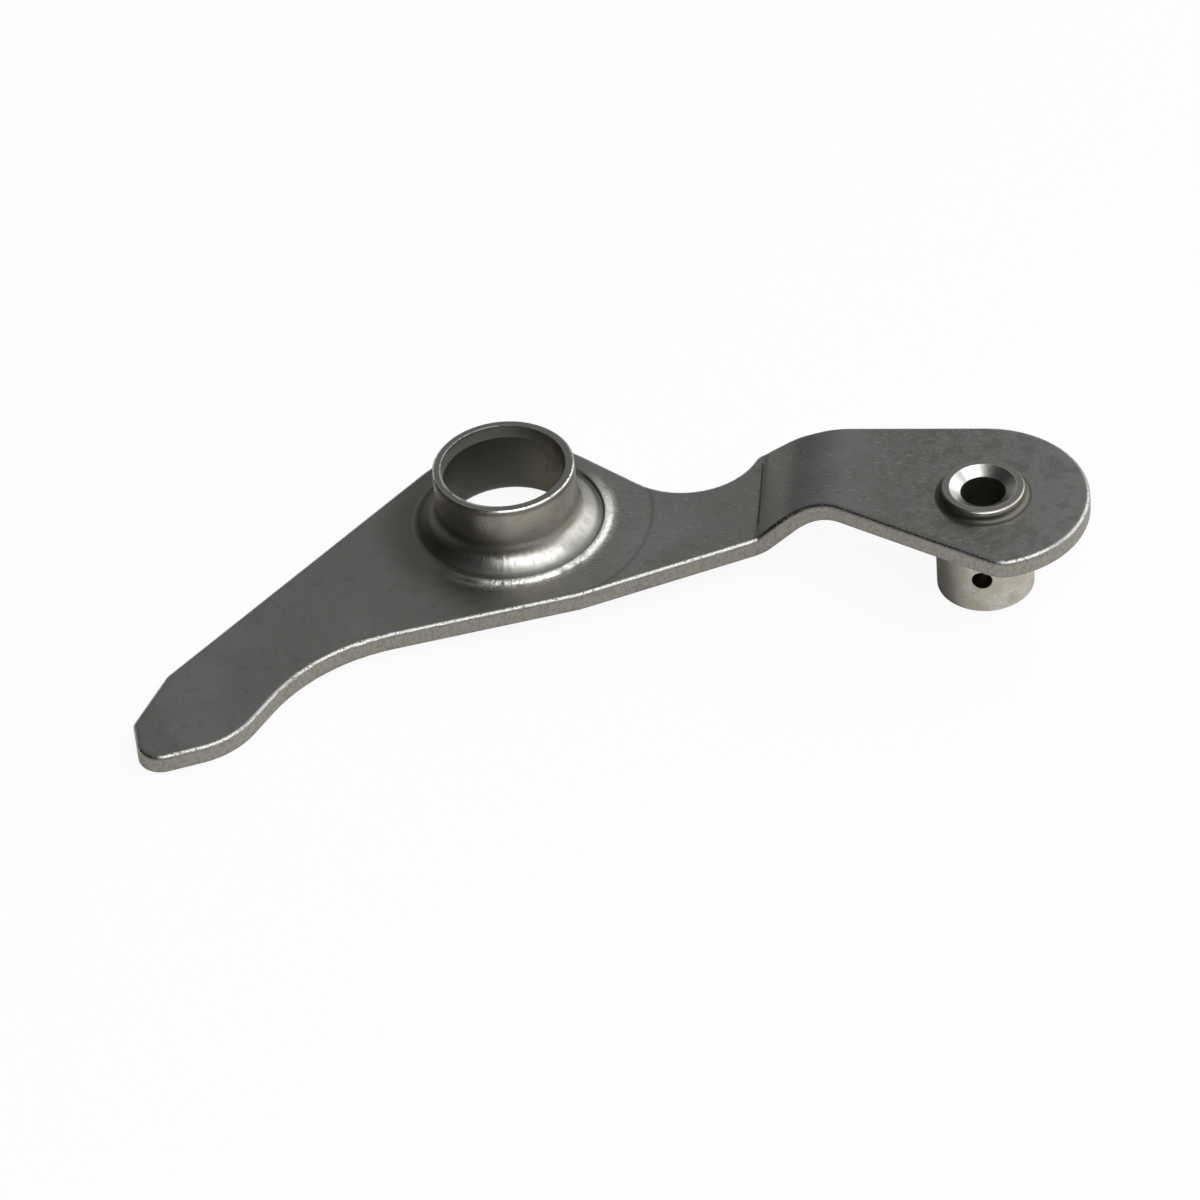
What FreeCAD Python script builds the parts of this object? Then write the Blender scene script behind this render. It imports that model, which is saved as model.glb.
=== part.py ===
import FreeCAD, Part
import math
import os

# Chain tensioner arm of an engine's timing drive, in millimetres.
# Two pieces: a steel blank, pressed to shape with a drawn collar, and a turned spindle brazed into it.
# The origin is on the pivot bore's axis, level with the blank's upper face round the collar.
# +Z runs up the bore, towards the collar's rim. +X points from the pivot to the spindle.
# The pieces are modelled on a blank with its underside at zero, then set down by its thickness.

# Blank: sheet, the joggle that lifts its spindle end, and its edges
SHEET = 3.0
JOGGLE_RISE = 5.8
JOGGLE_X = 36.6
JOGGLE_ANGLE = 37.8
CREASE_R = 0.9
SHOULDER_R = 14.5
EDGE_ROLL = 0.6
EDGE_BREAK = 0.35

# Blank: outline in plan, with corners as x, y and corner radius. The back notch keeps its gap from the pad.
PAD_R = 17.1
END_R = 15.4
END_CORNER_R = 5.0
BACK_BEND = (44.1, 14.7, 14.0)
BACK_SHOULDER = (37.1, 15.8, 2.5)
NOTCH_R = 11.2
NOTCH_GAP = 1.9
NOTCH_ANGLE = 36.0
TIP_SHOULDER = (-44.85, -35.95, 2.0)
TIP_POINT = (-47.95, -46.15, 0.8)
TIP_TOE = (-45.6, -54.3, 3.5)
HEEL = (-32.95, -49.05, 12.2)
WAIST = (-24.25, -30.05, 27.0)
FRONT_KNEE = (12.35, -16.85, 3.0)
CREASE_KNEE = (37.4, -3.95, 5.0)
FRONT_NOTCH = (46.05, -2.0, 8.3)
FRONT_RUN_PAST = 2.5
FRONT_RUN_OUT = 14.85

# Drawn collar: its bore, the hollow flank of its root, and the groove and bead pressed round it
PIVOT_BORE_R = 9.0
DRAW_R = 2.2
COLLAR_WALL = 1.4
COLLAR_HEIGHT = 12.8
RIM_BREAK = 0.25
MOUTH_DEPTH = 2.0
MOUTH_FLARE = 0.1
ROOT_R = 3.0
ROOT_REACH = 1.0
FLANK_TOP_RISE = 1.5
FLANK_REACH = 2.5
FLANK_HOLLOW = 0.15
GROOVE_DEPTH = 0.12
GROOVE_WIDTH = 0.3
BEAD_RISE = 0.26
BEAD_WIDTH = 1.2

# Radii that follow outwards from the bore
COLLAR_R = PIVOT_BORE_R + COLLAR_WALL
FLANK_TOP_R = COLLAR_R + ROOT_REACH
GROOVE_R = FLANK_TOP_R + FLANK_REACH
BEAD_R = GROOVE_R + GROOVE_WIDTH
BEAD_FOOT_R = BEAD_R + BEAD_WIDTH

# Roller spindle: journal below the blank, shank in its hole and ring above it
SPINDLE_X = 69.5
SHANK_R = 6.0
JOURNAL_R = 7.1
JOURNAL_LENGTH = 13.3
RING_HEIGHT = 1.75
RING_BREAK = 0.2
BRAZE_FILLET = 1.0
BOLT_BORE_R = 3.25
SINK_R = 4.85
SINK_DEPTH = 1.1
JOURNAL_CHAMFER = 0.3
OIL_HOLE_R = 1.5
OIL_HOLE_DROP = 7.2

TOUCH = 1e-6
FLAT = 0.01


def vec(point, z=0.0):
    return FreeCAD.Vector(point[0], point[1], z)


def polar(centre, radius, angle):
    return FreeCAD.Vector(centre[0] + radius * math.cos(angle), centre[1] + radius * math.sin(angle), 0)


def arc_between(centre, radius, start, sweep):
    """Start, middle and end of an arc that turns by sweep, in radians."""
    return [polar(centre, radius, start + sweep * part) for part in (0.0, 0.5, 1.0)]


def angle_of(centre, point):
    return math.atan2(point[1] - centre[1], point[0] - centre[0])


def turn(start, end, anticlockwise):
    """The angle swept from start to end in the given sense."""
    swept = (end - start) % (2 * math.pi)
    return swept if anticlockwise else swept - 2 * math.pi


def rounded_corner(before, corner, after):
    """Arc that rounds a corner given as x, y and radius, between straight neighbours."""
    point, radius = vec(corner), corner[2]
    back = (vec(before) - point).normalize()
    ahead = (vec(after) - point).normalize()
    half = back.getAngle(ahead) / 2
    middle = (back + ahead).normalize()
    centre = point + middle * (radius / math.sin(half))
    cut = radius / math.tan(half)
    return [point + back * cut, centre - middle * radius, point + ahead * cut]


def corner_centre(start, direction, offset, circle, reach, ahead):
    """Centre of a corner arc: offset to the left of a line, and reach away from a circle's centre."""
    left = FreeCAD.Vector(-direction.y, direction.x, 0)
    base = start + left * offset
    away = base - vec(circle)
    along = away.dot(direction)
    root = math.sqrt(along ** 2 - away.dot(away) + reach ** 2)
    return base + direction * (-along + (root if ahead else -root))


def blank_outline():
    """Outline of the blank in plan, anticlockwise, as tangent lines and arcs."""
    spindle = (SPINDLE_X, 0.0)
    arcs = []

    # front corner of the spindle end, between the front run and the end radius
    front_run = (SPINDLE_X + FRONT_RUN_PAST, -FRONT_RUN_OUT)
    knee_arc = rounded_corner(CREASE_KNEE, FRONT_NOTCH, front_run)
    run = (vec(front_run) - vec(FRONT_NOTCH)).normalize()
    centre = corner_centre(knee_arc[2], run, END_CORNER_R, spindle, END_R - END_CORNER_R, True)
    start = math.atan2(-run.x, run.y)
    end = angle_of(spindle, centre)
    arcs.append(arc_between(centre, END_CORNER_R, start, turn(start, end, True)))

    # end radius, up to its tangent from the bend in the back edge
    away = vec(BACK_BEND) - vec(spindle)
    top = math.atan2(away.y, away.x) - math.acos(END_R / away.Length)
    arcs.append(arc_between(spindle, END_R, end, turn(end, top, True)))
    arcs.append(rounded_corner(polar(spindle, END_R, top), BACK_BEND, BACK_SHOULDER))

    # back shoulder, between the joggle's back edge and the back notch
    shoulder = vec(BACK_SHOULDER)
    edge = (shoulder - vec(BACK_BEND)).normalize()
    notch = polar((0, 0), PAD_R + NOTCH_GAP + NOTCH_R, math.radians(NOTCH_ANGLE))
    shoulder_r = BACK_SHOULDER[2]
    centre = corner_centre(shoulder, edge, shoulder_r, notch, NOTCH_R + shoulder_r, False)
    start = math.atan2(-edge.x, edge.y)
    end = angle_of(centre, notch)
    arcs.append(arc_between(centre, shoulder_r, start, turn(start, end, True)))

    # back notch, then the pad round the pivot, joined by their inner tangent
    normal = angle_of((0, 0), notch) + math.acos((PAD_R + NOTCH_R) / notch.Length)
    start = angle_of(notch, centre)
    arcs.append(arc_between(notch, NOTCH_R, start, turn(start, normal + math.pi, False)))
    tip = vec(TIP_SHOULDER)
    leave = math.atan2(tip.y, tip.x) - math.acos(PAD_R / tip.Length)
    arcs.append(arc_between((0, 0), PAD_R, normal, turn(normal, leave, True)))

    # tip and front edge, each corner rounded between its neighbours
    corners = [polar((0, 0), PAD_R, leave), TIP_SHOULDER, TIP_POINT, TIP_TOE, HEEL, WAIST,
               FRONT_KNEE, CREASE_KNEE, FRONT_NOTCH, front_run]
    for before, corner, after in zip(corners, corners[1:], corners[2:]):
        arcs.append(rounded_corner(before, corner, after))

    edges = []
    for index, arc in enumerate(arcs):
        last_end = arcs[index - 1][2]
        if (arc[0] - last_end).Length > TOUCH:
            edges.append(Part.LineSegment(last_end, arc[0]).toShape())
        edges.append(Part.Arc(*arc).toShape())
    return Part.Wire(Part.__sortEdges__(edges))


def bend_arc(corner, slope_in, slope_out, radius, inside):
    """Arc of a bend in the side view, on the face that meets at the given corner."""
    before = (corner[0] - math.cos(slope_in), corner[1] - math.sin(slope_in))
    after = (corner[0] + math.cos(slope_out), corner[1] + math.sin(slope_out))
    arc = rounded_corner(before, (corner[0], corner[1], radius), after)
    return arc if inside else arc[::-1]


def joggled_sheet(reach):
    """Sheet with its joggle, seen from the side and as wide as reach both ways."""
    slope = math.radians(JOGGLE_ANGLE)
    run = JOGGLE_RISE / math.tan(slope)
    under_shift = SHEET * math.tan(slope / 2)
    low_top = (JOGGLE_X, SHEET)
    high_top = (JOGGLE_X + run, SHEET + JOGGLE_RISE)
    low_under = (JOGGLE_X + under_shift, 0.0)
    high_under = (JOGGLE_X + run + under_shift, JOGGLE_RISE)
    top = [bend_arc(low_top, 0, slope, CREASE_R, True), bend_arc(high_top, slope, 0, SHOULDER_R, True)]
    under = [bend_arc(high_under, slope, 0, SHOULDER_R - SHEET, False),
             bend_arc(low_under, 0, slope, CREASE_R + SHEET, False)]
    left = [FreeCAD.Vector(-reach, 0, 0)], [FreeCAD.Vector(-reach, SHEET, 0)]
    right = [FreeCAD.Vector(reach, SHEET + JOGGLE_RISE, 0)], [FreeCAD.Vector(reach, JOGGLE_RISE, 0)]
    ends = [*left, *top, *right, *under]
    edges = []
    for index, piece in enumerate(ends):
        edges.append(Part.LineSegment(ends[index - 1][-1], piece[0]).toShape())
        if len(piece) == 3:
            edges.append(Part.Arc(*piece).toShape())
    face = Part.Face(Part.Wire(edges))
    face.rotate(FreeCAD.Vector(), FreeCAD.Vector(1, 0, 0), 90)
    face.translate(FreeCAD.Vector(0, reach, 0))
    return face.extrude(FreeCAD.Vector(0, -2 * reach, 0))


def turned(points):
    """Solid of revolution about Z from r, z points. A point with a third value is an arc's middle."""
    edges = []
    index = 0
    ring = points + [points[0]]
    while index < len(points):
        start = FreeCAD.Vector(ring[index][0], 0, ring[index][1])
        after = FreeCAD.Vector(ring[index + 1][0], 0, ring[index + 1][1])
        if len(ring[index + 1]) == 3:
            end = FreeCAD.Vector(ring[index + 2][0], 0, ring[index + 2][1])
            edges.append(Part.Arc(start, after, end).toShape())
            index += 2
        else:
            edges.append(Part.LineSegment(start, after).toShape())
            index += 1
    return Part.Face(Part.Wire(edges)).revolve(FreeCAD.Vector(), FreeCAD.Vector(0, 0, 1), 360)


def fillet_rz(before, corner, after, radius):
    """Start, marked middle and end of a fillet in an r, z profile."""
    start, middle, end = rounded_corner(before, (corner[0], corner[1], radius), after)
    return [(start.x, start.y), (middle.x, middle.y, "arc"), (end.x, end.y)]


def drawn_collar():
    """Collar drawn up out of the sheet, with its hollow flank, groove and bead."""
    # root arc, tangent to the wall, down to the top of the flank
    swept = math.acos(1 - ROOT_REACH / ROOT_R)
    flank_top = FreeCAD.Vector(FLANK_TOP_R, SHEET + FLANK_TOP_RISE, 0)
    centre = FreeCAD.Vector(COLLAR_R + ROOT_R, flank_top.y + ROOT_R * math.sin(swept), 0)
    root_middle = polar(centre, ROOT_R, math.pi + swept / 2)

    # flank, hollow by a little, down to the groove
    groove = FreeCAD.Vector(GROOVE_R, SHEET - GROOVE_DEPTH, 0)
    down = (groove - flank_top).normalize()
    flank_middle = (flank_top + groove) / 2 + FreeCAD.Vector(down.y, -down.x, 0) * FLANK_HOLLOW

    inside = PIVOT_BORE_R / 2
    wall = [(COLLAR_R - RIM_BREAK, COLLAR_HEIGHT), (COLLAR_R, COLLAR_HEIGHT - RIM_BREAK), (COLLAR_R, centre.y)]
    root = [(root_middle.x, root_middle.y, "arc"), (flank_top.x, flank_top.y)]
    flank = [(flank_middle.x, flank_middle.y, "arc"), (groove.x, groove.y)]
    bead = [(BEAD_R, SHEET + BEAD_RISE), (BEAD_FOOT_R, SHEET), (BEAD_FOOT_R, SHEET / 2)]
    return turned(wall + root + flank + bead + [(inside, SHEET / 2), (inside, COLLAR_HEIGHT)])


def pivot_bore():
    """Everything taken out of the collar: the bore and its flared mouth."""
    mouth_r = PIVOT_BORE_R + MOUTH_FLARE
    return turned([(0, -SHEET), (PIVOT_BORE_R, -SHEET), (PIVOT_BORE_R, COLLAR_HEIGHT - MOUTH_DEPTH),
                   (mouth_r, COLLAR_HEIGHT), (mouth_r, COLLAR_HEIGHT + SHEET), (0, COLLAR_HEIGHT + SHEET)])


def rim_edges(blank, upper):
    """Edges along the blank's cut walls, on its upper or its lower side."""
    edges = [edge for face in blank.Faces if is_wall(face) for edge in face.Edges if not is_upright(edge)]
    middles = [edge.valueAt((edge.FirstParameter + edge.LastParameter) / 2) for edge in edges]
    return [edge for edge, point in zip(edges, middles) if (point.z > sheet_middle(point.x)) == upper]


def arm_plate():
    """Pressed blank with its joggle, rolled edges, drawn collar and spindle hole."""
    face = Part.Face(blank_outline())
    box = face.BoundBox
    reach = 2 * max(abs(box.XMin), abs(box.XMax), abs(box.YMin), abs(box.YMax))
    prism = face.extrude(FreeCAD.Vector(0, 0, reach))
    prism.translate(FreeCAD.Vector(0, 0, -reach / 2))
    blank = joggled_sheet(reach).common(prism).Solids[0]
    blank = blank.makeFillet(EDGE_ROLL, rim_edges(blank, True))
    blank = blank.makeFillet(EDGE_BREAK, rim_edges(blank, False))

    # collar in place of the sheet's upper half round the pivot, and the two holes
    upper_half = Part.makeCylinder(BEAD_FOOT_R, SHEET, FreeCAD.Vector(0, 0, SHEET / 2))
    hole = Part.makeCylinder(SHANK_R, reach, FreeCAD.Vector(SPINDLE_X, 0, 0))
    plate = blank.cut(upper_half).fuse(drawn_collar().common(prism))
    plate = plate.cut(pivot_bore()).cut(hole).removeSplitter()

    # the sheet turns up into the collar with a generous radius underneath
    mouth_below = [edge for edge in plate.Edges if is_bore_mouth(edge)]
    return plate.makeFillet(DRAW_R, mouth_below)


def is_wall(face):
    u_min, u_max, v_min, v_max = face.ParameterRange
    return abs(face.normalAt((u_min + u_max) / 2, (v_min + v_max) / 2).z) < FLAT


def is_bore_mouth(edge):
    box = edge.BoundBox
    return box.ZMax < TOUCH and abs(box.XMax - PIVOT_BORE_R) < FLAT and abs(box.XMin + PIVOT_BORE_R) < FLAT


def is_upright(edge):
    start, end = edge.Vertexes[0].Point, edge.Vertexes[-1].Point
    return math.hypot(start.x - end.x, start.y - end.y) < TOUCH


def sheet_middle(x):
    """Height of the sheet's mid-plane at x, with the joggle as a straight ramp."""
    slope = math.radians(JOGGLE_ANGLE)
    run = JOGGLE_RISE / math.tan(slope)
    start = JOGGLE_X + SHEET / 2 * math.tan(slope / 2)
    share = min(max((x - start) / run, 0), 1)
    return SHEET / 2 + share * JOGGLE_RISE


def roller_spindle():
    """Turned spindle, brazed in: journal with an oil hole, shank, raised ring and countersunk bore."""
    seat = JOGGLE_RISE
    face = JOGGLE_RISE + SHEET
    crown = face + RING_HEIGHT
    end = seat - JOURNAL_LENGTH
    braze = fillet_rz((SHANK_R, crown), (SHANK_R, face), (SHANK_R + crown, face), BRAZE_FILLET)
    ring = [(BOLT_BORE_R, crown - SINK_DEPTH), (SINK_R, crown), (SHANK_R - RING_BREAK, crown),
            (SHANK_R, crown - RING_BREAK)]
    shank = [(SHANK_R, face), (SHANK_R, seat)]
    journal = [(JOURNAL_R, seat), (JOURNAL_R, end + JOURNAL_CHAMFER), (JOURNAL_R - JOURNAL_CHAMFER, end),
               (BOLT_BORE_R + JOURNAL_CHAMFER, end), (BOLT_BORE_R, end + JOURNAL_CHAMFER)]
    body = turned(ring + braze + shank + journal)
    oil = Part.makeCylinder(OIL_HOLE_R, 2 * JOURNAL_R, FreeCAD.Vector(0, 0, seat - OIL_HOLE_DROP),
                            FreeCAD.Vector(0, -1, 0))
    body = body.cut(oil)
    body.translate(FreeCAD.Vector(SPINDLE_X, 0, 0))
    return body


os.makedirs("parts", exist_ok=True)
for name, shape in (("arm_plate", arm_plate()), ("roller_spindle", roller_spindle())):
    shape.translate(FreeCAD.Vector(0, 0, -SHEET))
    print(name, shape.isValid(), len(shape.Solids), "solids", round(shape.Volume, 1), "mm3", len(shape.Faces))
    shape.exportStep("parts/" + name + ".step")
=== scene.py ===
import math

import bmesh
import bpy
from mathutils import Matrix, Vector


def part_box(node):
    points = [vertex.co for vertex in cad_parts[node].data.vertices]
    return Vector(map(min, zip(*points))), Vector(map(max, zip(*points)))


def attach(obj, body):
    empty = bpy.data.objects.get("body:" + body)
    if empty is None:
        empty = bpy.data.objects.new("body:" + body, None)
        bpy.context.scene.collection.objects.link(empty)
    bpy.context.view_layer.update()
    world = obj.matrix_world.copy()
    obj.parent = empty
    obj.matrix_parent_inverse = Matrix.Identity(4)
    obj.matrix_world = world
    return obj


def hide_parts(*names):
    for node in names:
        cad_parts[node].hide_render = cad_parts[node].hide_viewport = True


# Looks for a chain tensioner arm: a pressed steel blank with a turned spindle brazed into it.
# Units are metres, in the frame of the CAD model: the origin on the pivot bore, X towards the spindle.
# Finishes are written in millimetres, as their nodes read the object's coordinates times a thousand.

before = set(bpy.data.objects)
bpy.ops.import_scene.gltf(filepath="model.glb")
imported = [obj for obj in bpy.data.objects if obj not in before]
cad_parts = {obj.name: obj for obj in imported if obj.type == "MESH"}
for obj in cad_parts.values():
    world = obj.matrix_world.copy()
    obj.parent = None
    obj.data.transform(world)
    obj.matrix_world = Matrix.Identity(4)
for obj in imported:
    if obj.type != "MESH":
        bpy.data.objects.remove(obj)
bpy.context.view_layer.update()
mm = 0.001
armBox = [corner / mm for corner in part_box("arm_plate")]
spindleBox = [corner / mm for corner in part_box("roller_spindle")]


def hexColour(code):
    # sRGB hex to the linear colour that a shader takes
    channels = [int(code[i:i + 2], 16) / 255 for i in (1, 3, 5)]
    linear = [c / 12.92 if c <= 0.04045 else ((c + 0.055) / 1.055) ** 2.4 for c in channels]
    return (*linear, 1.0)


def addNode(tree, kind, settings=None, links=None):
    # settings are the node's own options or its sockets, links are sockets by name or number
    node = tree.nodes.new(kind)
    for name, value in (settings or {}).items():
        if isinstance(name, int) or name in node.inputs:
            node.inputs[name].default_value = value
        else:
            setattr(node, name, value)
    for name, source in (links or {}).items():
        tree.links.new(source, node.inputs[name])
    return node


# camera, as far off and as narrow as the photograph's
cameraSettings = {
    "focalPixels": 5500.0,
    "framePixels": 1200.0,
    "sensor": 36.0,
    "azimuth": 9.774,
    "elevation": 41.099,
    "roll": -5.338,
    "distance": 791.616 * mm,
    "aim": (15.101 * mm, -15.846 * mm, -1.8 * mm),
    "clip": (0.01, 20.0),
}


def makeCamera(settings):
    azimuth, elevation, roll = (math.radians(settings[k]) for k in ("azimuth", "elevation", "roll"))
    back = Vector((math.sin(azimuth) * math.cos(elevation), -math.cos(azimuth) * math.cos(elevation),
                   math.sin(elevation)))
    right = Vector((math.cos(azimuth), math.sin(azimuth), 0.0))
    up = back.cross(right)
    turnedRight = math.cos(roll) * right + math.sin(roll) * up
    turnedUp = -math.sin(roll) * right + math.cos(roll) * up
    place = Vector(settings["aim"]) + back * settings["distance"]
    data = bpy.data.cameras.new("photoCamera")
    data.sensor_width = settings["sensor"]
    data.lens = settings["focalPixels"] / settings["framePixels"] * settings["sensor"]
    data.clip_start, data.clip_end = settings["clip"]
    camera = bpy.data.objects.new("photoCamera", data)
    axes = Matrix((turnedRight, turnedUp, back)).transposed()
    camera.matrix_world = Matrix.Translation(place) @ axes.to_4x4()
    bpy.context.scene.collection.objects.link(camera)
    bpy.context.scene.camera = camera


makeCamera(cameraSettings)
print("camera placed")

# floor under the three places the arm lies on: its tip's shoulder, its pad and the spindle's end
floorSettings = {
    "contacts": ((-44.4 * mm, -35.9 * mm, -3.0 * mm), (-13.9 * mm, 9.4 * mm, -3.0 * mm),
                 (63.9 * mm, 3.8 * mm, -10.5 * mm)),
    "gap": 0.05 * mm,
    "size": 3.0,
    "colour": "#F4F4F2",
    "whiteSeen": 0.93,          # share of plain white, the rest is lit and keeps the shadow
    "whiteReflected": 0.06,
}


def whiteShare(tree, settings):
    # most of the floor is plain white for the camera, and less of it in what metal reflects
    path = addNode(tree, "ShaderNodeLightPath")
    seen = addNode(tree, "ShaderNodeMath", {"operation": "MULTIPLY", 1: settings["whiteSeen"]},
                   {0: path.outputs["Is Camera Ray"]})
    mirrored = addNode(tree, "ShaderNodeMath", {"operation": "MAXIMUM"},
                       {0: path.outputs["Is Glossy Ray"], 1: path.outputs["Is Transmission Ray"]})
    reflected = addNode(tree, "ShaderNodeMath", {"operation": "MULTIPLY", 1: settings["whiteReflected"]},
                        {0: mirrored.outputs[0]})
    return addNode(tree, "ShaderNodeMath", {"operation": "MAXIMUM"},
                   {0: seen.outputs[0], 1: reflected.outputs[0]}).outputs[0]


def makeFloor(settings):
    mesh = bmesh.new()
    bmesh.ops.create_grid(mesh, x_segments=1, y_segments=1, size=settings["size"] / 2)
    a, b, c = (Vector(p) for p in settings["contacts"])
    normal = (b - a).cross(c - a).normalized()
    if normal.z < 0:
        normal.negate()
    turn = Vector((0, 0, 1)).rotation_difference(normal).to_matrix().to_4x4()
    place = Matrix.Translation(a - normal * settings["gap"]) @ turn
    bmesh.ops.transform(mesh, matrix=place, verts=mesh.verts)
    data = bpy.data.meshes.new("floor")
    mesh.to_mesh(data)
    mesh.free()
    floor = bpy.data.objects.new("floor", data)
    bpy.context.scene.collection.objects.link(floor)
    material = bpy.data.materials.new("whitePaperSweep")
    material.use_nodes = True
    tree = material.node_tree
    tree.nodes.clear()
    paper = addNode(tree, "ShaderNodeBsdfDiffuse", {"Color": hexColour(settings["colour"])})
    glow = addNode(tree, "ShaderNodeEmission", {"Color": (1, 1, 1, 1), "Strength": 1.0})
    both = addNode(tree, "ShaderNodeMixShader", None,
                   {0: whiteShare(tree, settings), 1: paper.outputs[0], 2: glow.outputs[0]})
    addNode(tree, "ShaderNodeOutputMaterial", None, {"Surface": both.outputs[0]})
    data.materials.append(material)


makeFloor(floorSettings)

# studio: a room that is dark at the front left and lighter at the back right,
# with a wide soft box high at the front right and a smaller one low at the back right
lightSettings = {
    "roomSide": (0.78, 0.62, 0.10),
    "roomFade": (-0.35, 1.0),
    "roomDark": 0.02,
    "roomLight": 0.78,
    "distance": 0.9,
    "boxes": {
        "key": {"towards": (0.39, -0.43, 0.81), "width": 1.05, "depth": 0.42, "radiance": 3.6},
        "side": {"towards": (0.82, 0.42, 0.38), "width": 0.95, "depth": 0.5, "radiance": 1.3},
    },
}


def makeLights(settings):
    world = bpy.data.worlds.new("studio")
    bpy.context.scene.world = world
    world.use_nodes = True
    tree = world.node_tree
    tree.nodes.clear()
    path = addNode(tree, "ShaderNodeLightPath")
    seen = addNode(tree, "ShaderNodeBackground", {"Color": (1, 1, 1, 1), "Strength": 1.0})
    place = addNode(tree, "ShaderNodeTexCoord")
    side = addNode(tree, "ShaderNodeVectorMath", {"operation": "DOT_PRODUCT", 1: settings["roomSide"]},
                   {0: place.outputs["Generated"]})
    level = addNode(tree, "ShaderNodeMapRange",
                    {"From Min": settings["roomFade"][0], "From Max": settings["roomFade"][1],
                     "To Min": settings["roomDark"], "To Max": settings["roomLight"]},
                    {"Value": side.outputs["Value"]})
    room = addNode(tree, "ShaderNodeBackground", {"Color": (1, 1, 1, 1)},
                   {"Strength": level.outputs["Result"]})
    both = addNode(tree, "ShaderNodeMixShader", None,
                   {0: path.outputs["Is Camera Ray"], 1: room.outputs[0], 2: seen.outputs[0]})
    addNode(tree, "ShaderNodeOutputWorld", None, {"Surface": both.outputs[0]})
    for name, box in settings["boxes"].items():
        data = bpy.data.lights.new(name, "AREA")
        data.shape = "RECTANGLE"
        data.size = box["width"]
        data.size_y = box["depth"]
        data.energy = box["radiance"] * math.pi * box["width"] * box["depth"]
        light = bpy.data.objects.new(name, data)
        towards = Vector(box["towards"]).normalized()
        turn = towards.to_track_quat("Z", "Y").to_matrix().to_4x4()
        light.matrix_world = Matrix.Translation(towards * settings["distance"]) @ turn
        light.visible_camera = False
        bpy.context.scene.collection.objects.link(light)


makeLights(lightSettings)
bpy.context.scene.view_settings.view_transform = "Standard"
print("floor and lights placed")


meshSettings = {
    "mergeWithin": 0.0005 * mm,
    "sharpOver": math.radians(24),
}


def dressedCopy(nodeName, pieceName):
    # a smooth shaded copy of a CAD node, with its doubles merged and its real corners kept sharp
    mesh = bmesh.new()
    mesh.from_mesh(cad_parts[nodeName].data)
    bmesh.ops.remove_doubles(mesh, verts=mesh.verts, dist=meshSettings["mergeWithin"])
    for face in mesh.faces:
        face.smooth = True
    for edge in mesh.edges:
        edge.smooth = edge.calc_face_angle(0.0) < meshSettings["sharpOver"]
    data = bpy.data.meshes.new(pieceName)
    mesh.to_mesh(data)
    mesh.free()
    piece = bpy.data.objects.new(pieceName, data)
    bpy.context.scene.collection.objects.link(piece)
    weighted = piece.modifiers.new("evenShading", "WEIGHTED_NORMAL")
    weighted.keep_sharp = True
    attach(piece, "root")
    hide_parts(nodeName)
    return piece


def startFinish(name, axis):
    # a metal material, and what its patterns are drawn from: a place in mm from an upright axis, its parts,
    # the distance from that axis, and the direction away from it, which stays the same up a wall
    material = bpy.data.materials.new(name)
    material.use_nodes = True
    tree = material.node_tree
    tree.nodes["Principled BSDF"].inputs["Metallic"].default_value = 1.0
    coords = addNode(tree, "ShaderNodeTexCoord")
    place = addNode(tree, "ShaderNodeMapping",
                    {"Location": (-axis[0], -axis[1], 0), "Scale": (1 / mm, 1 / mm, 1 / mm)},
                    {"Vector": coords.outputs["Object"]})
    xyz = addNode(tree, "ShaderNodeSeparateXYZ", None, {0: place.outputs[0]})
    level = addNode(tree, "ShaderNodeVectorMath", {"operation": "MULTIPLY", 1: (1, 1, 0)},
                    {0: place.outputs[0]})
    radius = addNode(tree, "ShaderNodeVectorMath", {"operation": "LENGTH"}, {0: level.outputs[0]})
    outwards = addNode(tree, "ShaderNodeVectorMath", {"operation": "NORMALIZE"}, {0: level.outputs[0]})
    skin = addNode(tree, "ShaderNodeNewGeometry")
    return material, tree, {"place": place.outputs[0], "x": xyz.outputs["X"], "y": xyz.outputs["Y"],
                            "z": xyz.outputs["Z"], "radius": radius.outputs["Value"],
                            "outwards": outwards.outputs[0], "normal": skin.outputs["Normal"]}


def zone(tree, spot, limits, most=1.0):
    # mask of one zone of the surface: each value fades in from none to full, and all of them count
    mask = None
    for value, none, full in limits:
        part = addNode(tree, "ShaderNodeMapRange",
                       {"interpolation_type": "SMOOTHSTEP", "From Min": none, "From Max": full,
                        "To Max": most if mask is None else 1.0}, {"Value": spot[value]}).outputs["Result"]
        if mask is not None:
            part = addNode(tree, "ShaderNodeMath", {"operation": "MULTIPLY"}, {0: mask, 1: part}).outputs[0]
        mask = part
    return mask


def layOver(tree, under, mask, finish):
    # lays a finish, a colour and a roughness, over what is beneath it as far as the mask says
    tint = addNode(tree, "ShaderNodeMix", {"data_type": "RGBA", 7: hexColour(finish[0])}, {0: mask})
    gloss = addNode(tree, "ShaderNodeMix", {"data_type": "FLOAT", 3: finish[1]}, {0: mask})
    if isinstance(under[0], str):
        tint.inputs[6].default_value = hexColour(under[0])
        gloss.inputs[2].default_value = under[1]
    else:
        tree.links.new(under[0], tint.inputs[6])
        tree.links.new(under[1], gloss.inputs[2])
    return tint.outputs[2], gloss.outputs[0]


def layCoats(tree, spot, finish, look, coats):
    # lays the coats one over another, and keeps each one's zone among the values of the spot
    for name, finishName, most, limits in coats:
        spot[name] = zone(tree, spot, limits, most)
        finish = layOver(tree, finish, spot[name], look[finishName])
    return finish


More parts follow.
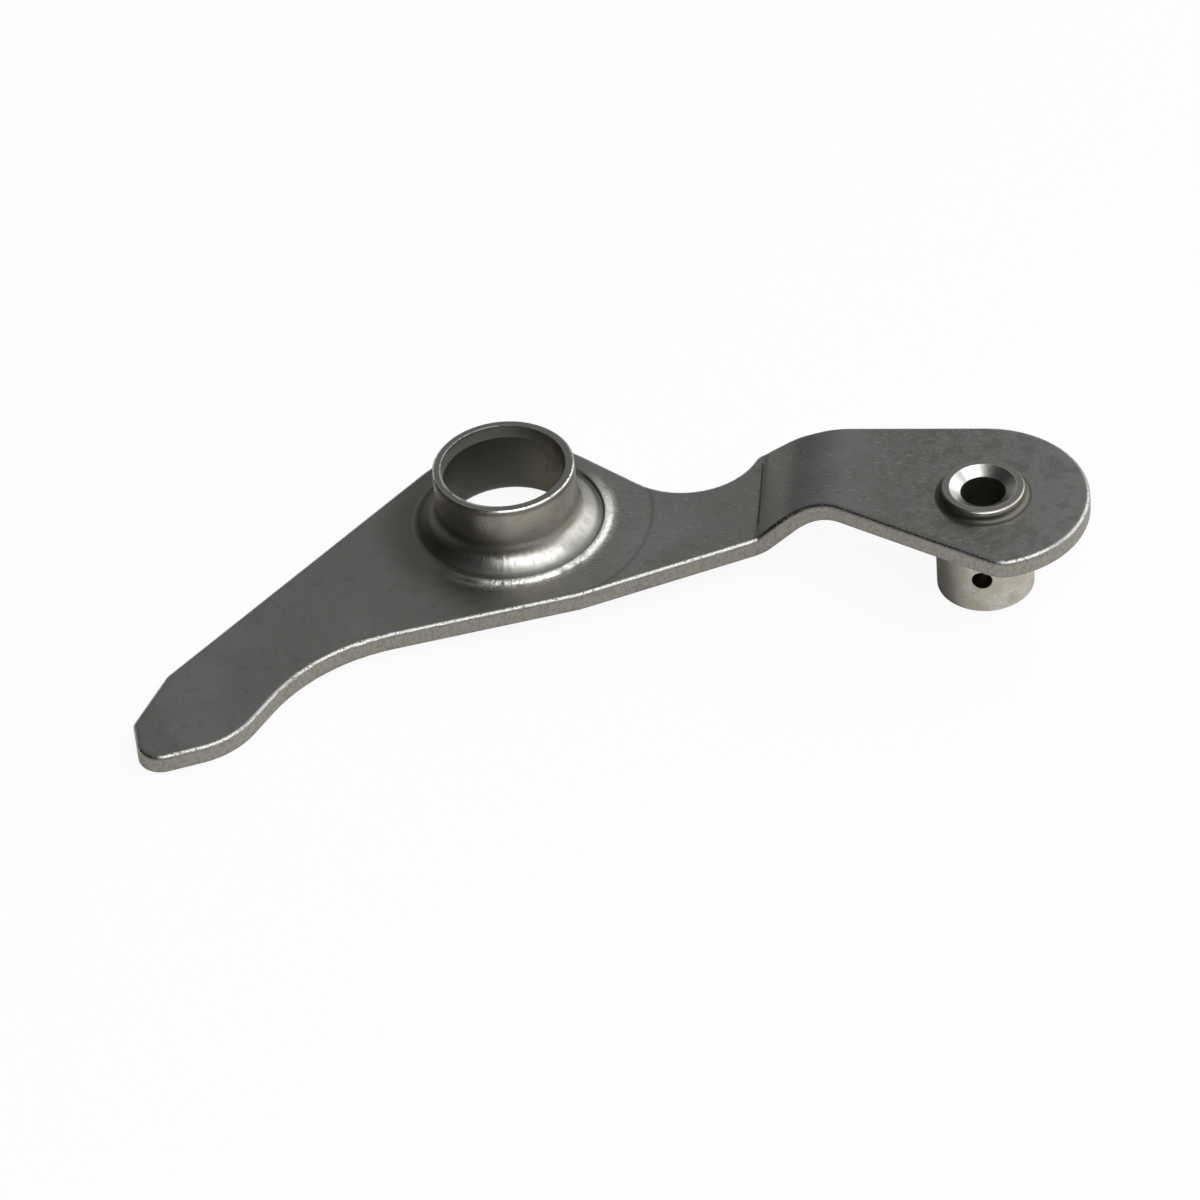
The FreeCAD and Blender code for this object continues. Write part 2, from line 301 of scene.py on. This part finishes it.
def relief(tree, spot, normal, heights):
    # heights in mm, each a pattern, the zone where it is and how deep it goes, as one bumpy normal
    total = None
    for pattern, where, depth in heights:
        size = addNode(tree, "ShaderNodeMath", {"operation": "MULTIPLY", 1: depth}, {0: spot[where]})
        links = {0: spot[pattern], 1: size.outputs[0]}
        if total is not None:
            links[2] = total
        total = addNode(tree, "ShaderNodeMath", {"operation": "MULTIPLY_ADD"}, links).outputs[0]
    return addNode(tree, "ShaderNodeBump", {"Distance": mm}, {"Height": total, "Normal": normal}).outputs[0]


def shade(tree, finish, normal):
    shader = tree.nodes["Principled BSDF"]
    tree.links.new(finish[0], shader.inputs["Base Color"])
    tree.links.new(finish[1], shader.inputs["Roughness"])
    tree.links.new(normal, shader.inputs["Normal"])


# pressed arm: cold-rolled steel sheet, blanked, joggled and drawn, left as it came from the press.
# The eye gets a dark oily skin, and paler bare metal where a tool has rubbed it: on the cut walls,
# along their rolled edge and round the collar, with painted highlight and painted shade on the collar and
# its pad, and painted shade in the crease and the bore. Finishes are a colour and a roughness, sizes are in
# mm.
armLook = {
    "skin": ("#848581", 0.40),
    "rubbed": ("#9A9B98", 0.36),
    "spot": ("#5C5D58", 0.36),
    "scratch": ("#B8B8B4", 0.34),
    "sheared": ("#A6A29A", 0.46),
    "torn": ("#85817A", 0.50),
    "rolled": ("#BFBFBC", 0.24),
    "drawn": ("#B7B1A7", 0.36),
    "heated": ("#A8968D", 0.38),
    "galled": ("#DAD7D1", 0.50),
    "ironedHighlight": ("#ACABA6", 0.30),
    "struckHighlight": ("#DCDCD8", 0.34),
    "faced": ("#82827E", 0.32),
    "reamed": ("#C4C4C1", 0.50),
    "edge": ("#D4D4D1", 0.2),
    "bore": ("#6C6B64", 0.42),
    "stain": ("#8A8373", 0.50),
    "sootAndShade": ("#5D5B55", 0.46),
    "dirtAndShade": ("#32312C", 0.6),
    "cloud": 15.0,
    "blot": 2.5,
    "speck": 0.4,               # grain of the skin, real ones are near 0.1 mm: too fine to show
    "tear": 0.4,                # torn grain of the cut walls, drawn coarser than it is
    "streak": 0.45,             # draw marks, drawn three times as coarse as they are
    "streakRise": 0.5,
    "scratchShape": (0.8, 3.0, 1.0),
    "tearShape": (1.0, 1.0, 0.6),
    "raggedness": 1.6,          # how far out the draw marks and the grains push the edges of a finish
    "fuzziness": 2.4,
    "joggleFoot": (36.35, 36.85),
    "joggleTop": (40.16, 49.04),
    "joggleSlope": 37.8,
    "crease": 36.71,
    "creaseTurn": 0.034,
    "flankTop": 11.4,
    "flankFoot": 13.9,
    "beadFoot": 15.4,
    "pressMark": 21.1,
    "boreRadius": 9.0,
    "collarRadius": 10.4,
    "mouthDepth": 2.0,
    "gall": (-1.6, -10.3, 7.2),
    "gallSize": 2.4,
    "litSide": (0.78, -0.62, 0.0),
    "edgeSoftness": 0.8,        # how far the punch drew the skin down beside a cut wall
    "beadHeight": 0.5,
    "grainDepth": 0.006,
    "tornDepth": 0.014,
    "rolledDepth": 0.035,
    "drawnDepth": 0.012,
    "ironedDepth": 0.02,
    "struckDepth": 0.18,
}


def sheetFacing(tree, spot, look):
    # 1 on the sheet's upper skin, up its joggle too, 0 on its cut walls and -1 beneath
    foot = zone(tree, spot, [("x", *look["joggleFoot"])], math.sin(math.radians(look["joggleSlope"])))
    top = addNode(tree, "ShaderNodeMapRange",
                  {"From Min": look["joggleTop"][0], "From Max": look["joggleTop"][1],
                   "To Min": 1.0, "To Max": 0.0}, {"Value": spot["x"]})
    sine = addNode(tree, "ShaderNodeMath", {"operation": "MULTIPLY"}, {0: foot, 1: top.outputs["Result"]})
    square = addNode(tree, "ShaderNodeMath", {"operation": "MULTIPLY"},
                     {0: sine.outputs[0], 1: sine.outputs[0]})
    rest = addNode(tree, "ShaderNodeMath", {"operation": "SUBTRACT", 0: 1.0}, {1: square.outputs[0]})
    cosine = addNode(tree, "ShaderNodeMath", {"operation": "SQRT"}, {0: rest.outputs[0]})
    lean = addNode(tree, "ShaderNodeMath", {"operation": "MULTIPLY", 1: -1.0}, {0: sine.outputs[0]})
    sheet = addNode(tree, "ShaderNodeCombineXYZ", None, {"X": lean.outputs[0], "Z": cosine.outputs[0]})
    return addNode(tree, "ShaderNodeVectorMath", {"operation": "DOT_PRODUCT"},
                   {0: sheet.outputs[0], 1: spot["normal"]}).outputs["Value"]


def armPatterns(tree, spot, look):
    # broad patches, blots, grains, short scratches along the sheet, torn grain on the cut walls,
    # and draw marks that run up the collar and out over its flank
    place = spot["place"]
    along = addNode(tree, "ShaderNodeMapping", {"Scale": look["scratchShape"]}, {"Vector": place})
    down = addNode(tree, "ShaderNodeMapping", {"Scale": look["tearShape"]}, {"Vector": place})
    around = addNode(tree, "ShaderNodeVectorMath",
                     {"operation": "SCALE", "Scale": look["flankTop"] / look["streak"]},
                     {0: spot["outwards"]})
    up = addNode(tree, "ShaderNodeVectorMath", {"operation": "MULTIPLY", 1: (0, 0, look["streakRise"])},
                 {0: place})
    drawn = addNode(tree, "ShaderNodeVectorMath", {"operation": "ADD"},
                    {0: around.outputs[0], 1: up.outputs[0]})
    noises = {"cloud": (place, 1 / look["cloud"], 4.0), "blot": (place, 1 / look["blot"], 3.0),
              "speck": (place, 1 / look["speck"], 3.0), "scratch": (along.outputs[0], 1.0, 2.0),
              "tear": (down.outputs[0], 1 / look["tear"], 3.0), "streak": (drawn.outputs[0], 1.0, 3.0)}
    return {name: addNode(tree, "ShaderNodeTexNoise", {"Scale": scale, "Detail": detail},
                          {"Vector": source}).outputs[0]
            for name, (source, scale, detail) in noises.items()}


def armMeasures(tree, spot, look):
    # a radius that the draw marks make ragged and one that the grains make fuzzy, the side that faces the
    # light, 1 at the front right, where the flank and the bead get their painted highlight,
    # the distance from the galled patch, and x as the crease has it, a little askew
    ragged = addNode(tree, "ShaderNodeMath", {"operation": "MULTIPLY_ADD", 1: look["raggedness"]},
                     {0: spot["streak"], 2: spot["radius"]})
    fuzzy = addNode(tree, "ShaderNodeMath", {"operation": "MULTIPLY_ADD", 1: look["fuzziness"]},
                    {0: spot["speck"], 2: spot["radius"]})
    towardsLight = addNode(tree, "ShaderNodeVectorMath", {"operation": "DOT_PRODUCT", 1: look["litSide"]},
                         {0: spot["outwards"]})
    gall = addNode(tree, "ShaderNodeVectorMath", {"operation": "DISTANCE", 1: look["gall"]},
                   {0: spot["place"]})
    askew = addNode(tree, "ShaderNodeMath", {"operation": "MULTIPLY_ADD", 1: look["creaseTurn"]},
                    {0: spot["y"], 2: spot["x"]})
    return {"ragged": ragged.outputs[0], "fuzzy": fuzzy.outputs[0], "askew": askew.outputs[0],
            "towardsLight": towardsLight.outputs["Value"], "fromGall": gall.outputs["Value"]}


def armCoats(look, rimTop):
    # the coats in their order, each a zone's name, its finish, how much it covers, and the zone's limits:
    # a value, where the coat is absent and where it is full
    flankTop, flankFoot, beadFoot = look["flankTop"], look["flankFoot"], look["beadFoot"]
    pressMark, boreRadius, collarRadius = look["pressMark"], look["boreRadius"], look["collarRadius"]
    crease = look["crease"]
    mouthFloor = rimTop - look["mouthDepth"]
    pastBead = ("radius", beadFoot + 0.3, beadFoot + 0.7)
    upperPlate = ("x", 50, 64)
    wallOut = ("radius", boreRadius + 1, collarRadius)
    wallIn = ("radius", flankTop + 0.3, flankTop)
    rimOut = ("radius", collarRadius - 0.4, collarRadius - 0.2)
    inBore = ("radius", boreRadius + 0.3, boreRadius + 0.15)
    return [
        # skin of the sheet, paler towards the spindle end
        ("patches", "rubbed", 0.4, [("cloud", 0.48, 0.68)]),
        ("blots", "spot", 0.25, [("blot", 0.54, 0.74)]),
        ("grains", "rubbed", 0.3, [("speck", 0.52, 0.72)]),
        ("pits", "spot", 0.22, [("speck", 0.46, 0.30)]),
        ("scratches", "scratch", 0.55, [("scratch", 0.60, 0.72), ("blot", 0.40, 0.56), ("x", 5, 22)]),
        ("farEnd", "rubbed", 0.5, [("x", 66, 84)]),
        ("farGrains", "rubbed", 0.3, [("speck", 0.48, 0.66), upperPlate]),
        ("farBlots", "spot", 0.3, [("blot", 0.50, 0.38), upperPlate]),
        # pad pressed flat round the collar: painted shade on the left, scuffed on the right, with a faint
        # edge
        ("padShade", "spot", 0.75, [("radius", pressMark + 0.5, beadFoot), ("x", 2, -9)]),
        ("padScuffs", "rubbed", 0.3, [("radius", pressMark + 0.1, pressMark - 1.2), pastBead, ("x", 4, 14),
                                      ("scratch", 0.40, 0.55)]),
        ("padMark", "spot", 0.35, [("radius", pressMark - 0.6, pressMark),
                                   ("radius", pressMark + 0.4, pressMark + 0.1), ("x", 2, 14)]),
        # cut walls, and the rolled edge above them
        ("wall", "sheared", 1.0, [("facing", 0.45, 0.2), ("facing", -0.8, -0.5), pastBead]),
        ("tornWall", "torn", 0.55, [("tear", 0.42, 0.66), ("wall", 0, 1)]),
        ("rolledEdge", "rolled", 1.0, [("facing", 0.3, 0.55), ("facing", 0.995, 0.95), pastBead,
                                       ("tear", 0.30, 0.45)]),
        # collar, its ironed flank and the bead struck round it with a painted highlight on the side facing
        # the light, painted shade on its root away from the light and in the groove between them
        ("collar", "drawn", 1.0, [wallIn, ("z", 0.8, 1.3)]),
        ("heatTint", "heated", 0.5, [("blot", 0.50, 0.62), ("z", 3.5, 5), ("x", -2, 3), wallOut, wallIn]),
        # painted shade on the collar's lower wall and root, away from the light
        ("rootShade", "sootAndShade", 0.85, [("radius", collarRadius - 0.2, collarRadius - 0.05), ("z", 5.5, 3.0),
                                    ("radius", flankFoot + 0.1, flankFoot - 0.2), ("z", -0.3, 0.2),
                                    ("towardsLight", 0.96, 0.5)]),
        # painted highlight: the ironed flank paler where it faces the light
        ("flank", "ironedHighlight", 1.0, [("ragged", flankTop + 0.3, flankTop + 0.8),
                                  ("radius", flankTop + 2.0, flankTop + 1.2), ("z", -0.3, 0.2),
                                  ("towardsLight", -0.2, 0.5)]),
        ("chatter", "sootAndShade", 0.3, [("streak", 0.50, 0.36), ("radius", flankTop + 1.8, flankTop + 0.6),
                                  ("radius", flankTop, flankTop + 0.2), ("z", -0.3, 0.2)]),
        # painted highlight: the struck bead paler where it faces the light
        ("bead", "struckHighlight", 0.9, [("radius", flankFoot + 0.05, flankFoot + 0.3),
                                 ("fuzzy", beadFoot + 2.2, beadFoot + 0.6), ("z", -0.3, 0.0),
                                 ("blot", 0.25, 0.5), ("towardsLight", 0.1, 0.6)]),
        # painted shade in the groove where it faces the light
        ("grooveShade", "dirtAndShade", 0.2, [("radius", flankFoot - 0.2, flankFoot),
                                 ("radius", flankFoot + 0.2, flankFoot), ("z", -0.4, -0.2),
                                 ("towardsLight", 0.2, 0.7)]),
        # patch where the punch galled the wall
        ("galledPatch", "galled", 0.8, [("fromGall", look["gallSize"], look["gallSize"] / 4),
                                        ("speck", 0.28, 0.60), wallOut]),
        # bore, with painted shade darkening its wall, stained on the right, and its machined mouth, which
        # shows on the left
        ("shadedBore", "bore", 1.0, [inBore]),
        ("boreStain", "stain", 0.85, [("blot", 0.38, 0.56), inBore, ("x", 0, 5)]),
        ("boreDirt", "dirtAndShade", 0.6, [("speck", 0.45, 0.33), inBore, ("x", 1, 6)]),
        ("mouth", "reamed", 0.9, [("z", mouthFloor - 0.1, mouthFloor), inBore, ("x", 5, -3)]),
        # faced rim, with its bright outer edge, the painted shade under it and painted glints along its
        # inner edge on the left
        ("rim", "faced", 1.0, [("z", rimTop - 0.12, rimTop - 0.06)]),
        ("underRim", "sootAndShade", 0.6, [("z", rimTop - 1.3, rimTop - 0.5), ("z", rimTop - 0.1, rimTop - 0.2),
                                   rimOut]),
        ("rimEdge", "edge", 1.0, [("z", rimTop - 0.16, rimTop - 0.10), rimOut, ("speck", 0.35, 0.5)]),
        # painted glints on the rim's inner edge, on the left only
        ("rimGlints", "edge", 1.0, [("z", rimTop - 0.4, rimTop - 0.2),
                                    ("radius", boreRadius + 0.45, boreRadius + 0.3),
                                    ("speck", 0.4, 0.5), ("x", 1, -3)]),
        # painted shade in the joggle's crease, which runs a little askew and stops short of both edges
        ("creaseShade", "dirtAndShade", 0.75, [("askew", crease - 0.25, crease - 0.05),
                                      ("askew", crease + 0.2, crease), ("facing", 0.9, 0.97),
                                      ("y", 13.4, 12.6), ("y", -3.5, 0)]),
    ]


def armNormal(tree, spot, look):
    # the skin is drawn down softly beside the cut walls and on the upper plate, the bead and the groove are
    # nearly level on the side away from the light, and the groove is half level all round
    flankFoot, beadFoot = look["flankFoot"], look["beadFoot"]
    soft = addNode(tree, "ShaderNodeBevel", {"samples": 6, "Radius": look["edgeSoftness"] * mm})
    away = zone(tree, spot, [("radius", beadFoot + 0.3, beadFoot + 0.7), ("z", 1.0, 0.5)])
    upper = zone(tree, spot, [("x", *look["joggleTop"])])
    where = addNode(tree, "ShaderNodeMath", {"operation": "MAXIMUM"}, {0: away, 1: upper})
    drawnDown = addNode(tree, "ShaderNodeMix", {"data_type": "VECTOR"},
                        {0: where.outputs[0], 4: spot["normal"], 5: soft.outputs[0]})
    faint = zone(tree, spot, [("radius", flankFoot - 0.7, flankFoot - 0.3),
                              ("radius", beadFoot + 0.3, beadFoot), ("z", -0.5, -0.3),
                              ("towardsLight", 0.5, 0.0)], 0.8)
    inGroove = zone(tree, spot, [("radius", flankFoot - 0.4, flankFoot - 0.1),
                                 ("radius", flankFoot + 0.5, flankFoot + 0.2), ("z", -0.5, -0.3)], 0.55)
    level = addNode(tree, "ShaderNodeMath", {"operation": "MAXIMUM"}, {0: faint, 1: inGroove})
    normal = addNode(tree, "ShaderNodeMix", {"data_type": "VECTOR", 5: (0, 0, 1)},
                     {0: level.outputs[0], 4: drawnDown.outputs[1]}).outputs[1]
    spot["roundBead"] = zone(tree, spot, [("radius", beadFoot + 0.2, flankFoot + 0.4)])
    spot["onBead"] = zone(tree, spot, [("radius", flankFoot, flankFoot + 0.15), ("z", -0.3, 0.0),
                                       ("towardsLight", 0.0, 0.5)])
    spot["upperSkin"] = zone(tree, spot, [("facing", 0.5, 0.8)])
    return relief(tree, spot, normal,
                  [("roundBead", "onBead", look["beadHeight"]), ("speck", "upperSkin", look["grainDepth"]),
                   ("tear", "wall", look["tornDepth"]), ("tear", "rolledEdge", look["rolledDepth"]),
                   ("streak", "collar", look["drawnDepth"]), ("streak", "flank", look["ironedDepth"]),
                   ("speck", "bead", look["struckDepth"])])


def armMaterial(look):
    material, tree, spot = startFinish("oiledPressedSteel", (0, 0))
    spot["facing"] = sheetFacing(tree, spot, look)
    spot.update(armPatterns(tree, spot, look))
    spot.update(armMeasures(tree, spot, look))
    finish = layCoats(tree, spot, look["skin"], look, armCoats(look, armBox[1].z))
    shade(tree, finish, armNormal(tree, spot, look))
    return material


plate = dressedCopy("arm_plate", "pressedArm")
plate.data.materials.append(armMaterial(armLook))
print("pressed arm dressed")

# turned spindle: free-cutting steel, turned all over, then brazed into the blank.
# The eye gets a brighter and warmer grey than the sheet's, with faint turned lines, pale pink and yellow
# stains, a shiny countersink and a dark fillet of braze.
spindleLook = {
    "turned": ("#D2CFC8", 0.32),
    "line": ("#A39F97", 0.34),
    "pink": ("#BBABA2", 0.36),
    "yellow": ("#B6B196", 0.36),
    "leftShade": ("#69655D", 0.42),
    "dirtAndShade": ("#6A5F4E", 0.6),
    "braze": ("#565650", 0.45),
    "bronze": ("#77736A", 0.52),
    "crown": ("#8C8B86", 0.40),
    "bore": ("#8A8880", 0.42),
    "sink": ("#D0D0CC", 0.28),
    "feed": 0.25,               # turned lines, the real feed is near 0.1 mm: too fine to show
    "stain": 3.0,
    "speck": 0.4,               # grain of the surface, coarser than it is
    "brazeFoot": 2.8,           # height that the braze starts at, under the sheet
    "sheetFace": 5.8,
    "boreRadius": 3.25,
    "sinkRadius": 4.85,
    "sinkDepth": 1.1,
    "journalRadius": 7.1,
    "lineDepth": 0.004,
    "speckDepth": 0.01,
}


def spindlePatterns(tree, spot, look):
    # turned lines follow the height on a wall and the distance from the axis on an end, the rest is blotchy
    reach = addNode(tree, "ShaderNodeMath", {"operation": "ADD"}, {0: spot["radius"], 1: spot["z"]})
    lines = addNode(tree, "ShaderNodeTexNoise",
                    {"noise_dimensions": "1D", "Scale": 1 / look["feed"], "Detail": 2.0},
                    {"W": reach.outputs[0]})
    stain = addNode(tree, "ShaderNodeTexNoise", {"Scale": 1 / look["stain"], "Detail": 3.0},
                    {"Vector": spot["place"]})
    tints = addNode(tree, "ShaderNodeSeparateXYZ", None, {0: stain.outputs["Color"]})
    speck = addNode(tree, "ShaderNodeTexNoise", {"Scale": 1 / look["speck"], "Detail": 2.0},
                    {"Vector": spot["place"]})
    return {"lines": lines.outputs["Fac"], "speck": speck.outputs["Fac"], "pinkStain": tints.outputs["X"],
            "yellowStain": tints.outputs["Y"]}


def spindleCoats(look, crown):
    # the coats in their order, written as the arm's are
    bore, journal, face = look["boreRadius"], look["journalRadius"], look["sheetFace"]
    ringWall = ("radius", 5.0, 5.5)
    belowCrown = ("z", face + 1.3, face + 0.6)
    sinkFloor = crown - look["sinkDepth"]
    return [
        ("turnedLines", "line", 0.25, [("lines", 0.45, 0.65)]),
        ("specks", "line", 0.35, [("speck", 0.45, 0.65)]),
        ("pinkPatches", "pink", 0.55, [("pinkStain", 0.46, 0.66)]),
        ("yellowPatches", "yellow", 0.55, [("yellowStain", 0.46, 0.66)]),
        # painted shade: the spindle darker on its left, away from the light
        ("shadedLeft", "leftShade", 0.85, [("x", -1.5, -6.5)]),
        # darker brown inside the oil hole: dirt and painted shade
        ("oilHole", "dirtAndShade", 1.0, [("radius", journal - 0.05, journal - 0.2),
                                  ("radius", bore + 0.05, bore + 0.2), ("z", -9, -8), ("z", 1, 0)]),
        ("brazed", "braze", 1.0, [("z", look["brazeFoot"], look["brazeFoot"] + 0.2), belowCrown, ringWall]),
        ("brazeTint", "bronze", 0.8, [("x", 2, 5), ("z", face - 0.1, face + 0.1), belowCrown, ringWall]),
        ("ringTop", "crown", 1.0, [("z", crown - 0.15, crown - 0.05)]),
        # painted shade: the bore's wall darker than the turned outside
        ("shadedBore", "bore", 1.0, [("radius", bore + 0.25, bore + 0.1)]),
        ("countersink", "sink", 1.0, [("radius", bore + 0.02, bore + 0.1),
                                      ("radius", look["sinkRadius"] + 0.1, look["sinkRadius"]),
                                      ("z", sinkFloor - 0.1, sinkFloor)]),
    ]


def spindleMaterial(look):
    material, tree, spot = startFinish("turnedSteel", (spindleBox[0] + spindleBox[1]) / 2)
    spot.update(spindlePatterns(tree, spot, look))
    finish = layCoats(tree, spot, look["turned"], look, spindleCoats(look, spindleBox[1].z))
    spot["everywhere"] = zone(tree, spot, [("radius", -1, 0)])
    shade(tree, finish, relief(tree, spot, spot["normal"], [("lines", "everywhere", look["lineDepth"]),
                                                            ("speck", "everywhere", look["speckDepth"])]))
    return material


spindle = dressedCopy("roller_spindle", "turnedSpindle")
spindle.data.materials.append(spindleMaterial(spindleLook))
print("spindle dressed")
